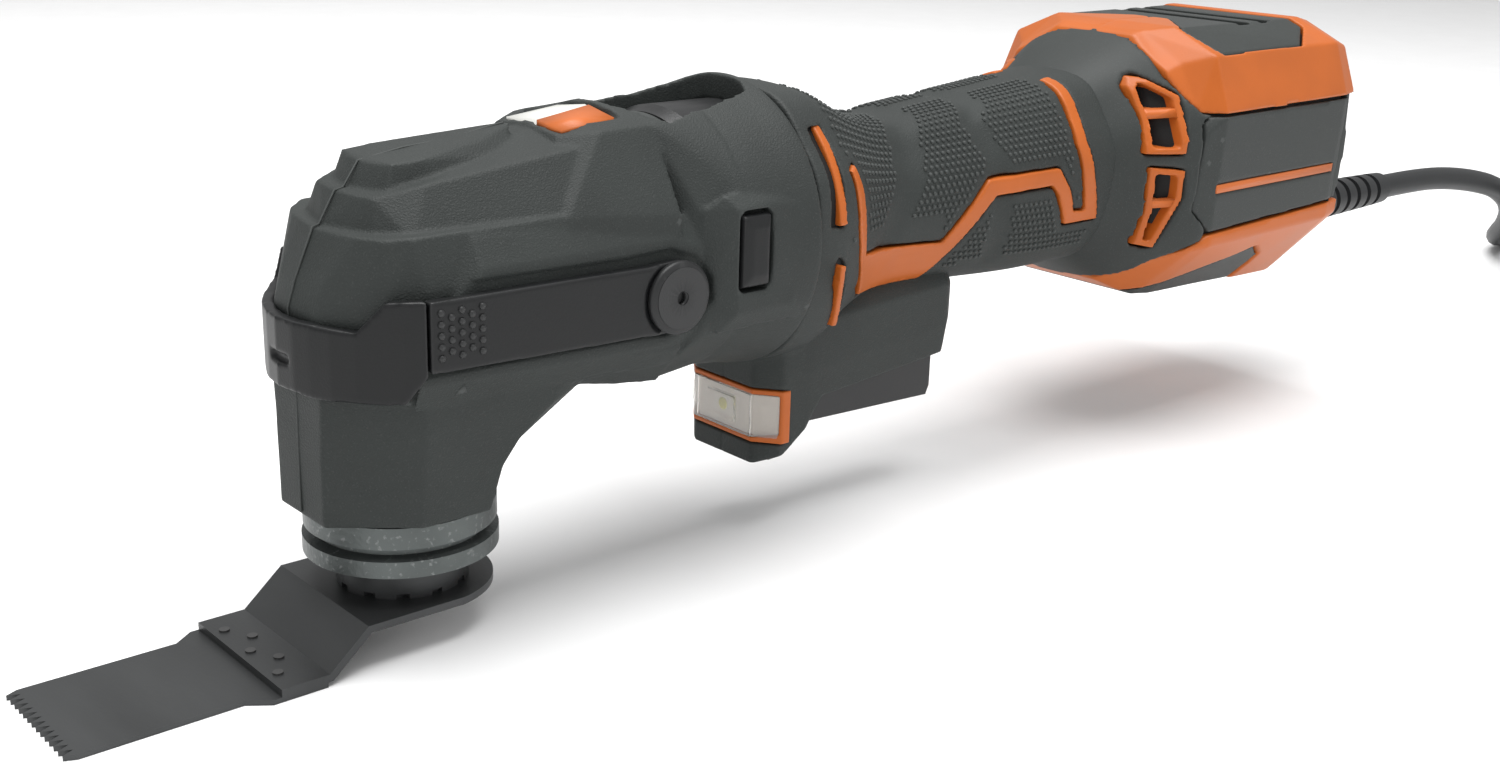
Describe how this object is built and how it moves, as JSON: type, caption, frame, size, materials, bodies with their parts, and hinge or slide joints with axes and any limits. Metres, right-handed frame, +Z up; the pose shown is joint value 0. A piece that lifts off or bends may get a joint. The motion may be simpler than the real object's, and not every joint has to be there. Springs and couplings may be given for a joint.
{
  "type": "oscillating multi tool",
  "caption": "Corded oscillating multi tool with a detachable head, a tool-free clamp lever, a flat plunge-saw blade and a coiled lead.",
  "frame": {"origin": "on the output spindle's axis, in the face that an accessory is clamped against", "axes": "+X along the handle from the head towards the cord, +Y to the tool's left, +Z up along the spindle away from the accessory"},
  "size_m": [0.7327, 0.111, 0.1073],
  "materials": {
    "soft_grip": "matte",
    "hard_grey": "satin",
    "accent": "satin",
    "black_plastic": "satin",
    "clear_lens": "clear",
    "label_white": "matte",
    "cast_metal": "cast",
    "bearing_steel": "satin",
    "dark_steel": "satin",
    "weld_steel": "satin",
    "copper": "satin",
    "carbon": "matte",
    "cord_rubber": "matte",
    "plug_brass": "satin"
  },
  "bodies": {
    "handle": {"handle_shell_left": "soft_grip", "handle_shell_right": "soft_grip", "grip_sleeve": "soft_grip", "accent_strips": "accent", "casing_screws": "bearing_steel", "switch_body": "black_plastic", "trigger_spring": "bearing_steel", "led_lens": "clear_lens", "led_bezel": "accent", "led_board": "black_plastic", "stator": "bearing_steel", "brush_holders": "black_plastic", "carbon_brushes": "carbon", "motor_bearings": "bearing_steel", "motor_housing_left": "hard_grey", "motor_housing_right": "hard_grey", "top_guard": "accent", "bottom_guard": "accent", "side_panels": "hard_grey", "vent_frames": "accent", "vent_panels": "hard_grey", "rear_cover": "hard_grey", "cord_boot": "cord_rubber", "power_cord": "cord_rubber", "cord_coil": "cord_rubber", "cord_tie": "cord_rubber", "plug_body": "cord_rubber", "plug_blades": "plug_brass"},
    "head": {"head_shell_left": "soft_grip", "head_shell_right": "soft_grip", "label_plate": "label_white", "head_screws": "bearing_steel", "head_collar": "hard_grey", "head_sleeve": "black_plastic", "gear_case": "cast_metal", "lower_spindle_bearing": "bearing_steel", "upper_spindle_bearing": "bearing_steel", "input_bearing": "bearing_steel"},
    "spindle": {"spindle": "bearing_steel", "accessory_flange": "dark_steel", "fork": "bearing_steel", "blade_holder": "dark_steel", "saw_blade": "dark_steel", "blade_rivets": "weld_steel", "clamp_spring": "bearing_steel"},
    "rod": {"clamp_rod": "bearing_steel"},
    "yoke": {"release_yoke": "bearing_steel"},
    "lever": {"clamp_lever": "black_plastic", "lever_pins": "bearing_steel"},
    "eccentric": {"eccentric_shaft": "bearing_steel", "eccentric_bearing": "bearing_steel", "counterweight": "bearing_steel", "drive_socket": "bearing_steel"},
    "armature": {"motor_shaft": "bearing_steel", "armature": "copper", "commutator": "copper", "cooling_fan": "black_plastic"},
    "trigger": {"trigger": "black_plastic"},
    "button_left": {"release_button_left": "black_plastic"},
    "button_right": {"release_button_right": "black_plastic"}
  },
  "joints": [
    {"name": "head_pull_off", "type": "slide", "parent": "handle", "child": "head", "axis": [-1, 0, 0], "range_m": [0, 0.03]},
    {"name": "spindle_oscillation", "type": "hinge", "parent": "head", "child": "spindle", "pos_m": [0, 0, 0], "axis": [0, 0, 1], "range_deg": [-1.6, 1.6]},
    {"name": "lever_swing", "type": "hinge", "parent": "head", "child": "lever", "pos_m": [0.0472, 0, 0.0547], "axis": [0, 1, 0], "range_deg": [0, 90]},
    {"name": "rod_drop", "type": "slide", "parent": "spindle", "child": "rod", "axis": [0, 0, -1], "range_m": [0, 0.0025], "deforming": ["clamp_spring"]},
    {"name": "yoke_drop", "type": "slide", "parent": "head", "child": "yoke", "axis": [0, 0, -1], "range_m": [0, 0.0025]},
    {"name": "motor_spin", "type": "hinge", "parent": "handle", "child": "armature", "pos_m": [0, 0, 0.0611], "axis": [1, 0, 0], "continuous": true},
    {"name": "eccentric_spin", "type": "hinge", "parent": "head", "child": "eccentric", "pos_m": [0, 0, 0.0611], "axis": [1, 0, 0], "continuous": true},
    {"name": "trigger_pull", "type": "slide", "parent": "handle", "child": "trigger", "axis": [0, 0, 1], "range_m": [0, 0.004], "stiffness_N_per_m": 800, "deforming": ["trigger_spring"]},
    {"name": "release_button_left", "type": "slide", "parent": "head", "child": "button_left", "axis": [0, -1, 0], "range_m": [0, 0.0022], "stiffness_N_per_m": 1200},
    {"name": "release_button_right", "type": "slide", "parent": "head", "child": "button_right", "axis": [0, 1, 0], "range_m": [0, 0.0022], "stiffness_N_per_m": 1200}
  ],
  "couplings": [
    {"joint": "rod_drop", "follows": "lever_swing", "m_per_rad": 0.0015915},
    {"joint": "yoke_drop", "follows": "lever_swing", "m_per_rad": 0.0015915},
    {"joint": "eccentric_spin", "follows": "motor_spin", "ratio": 1}
  ]
}
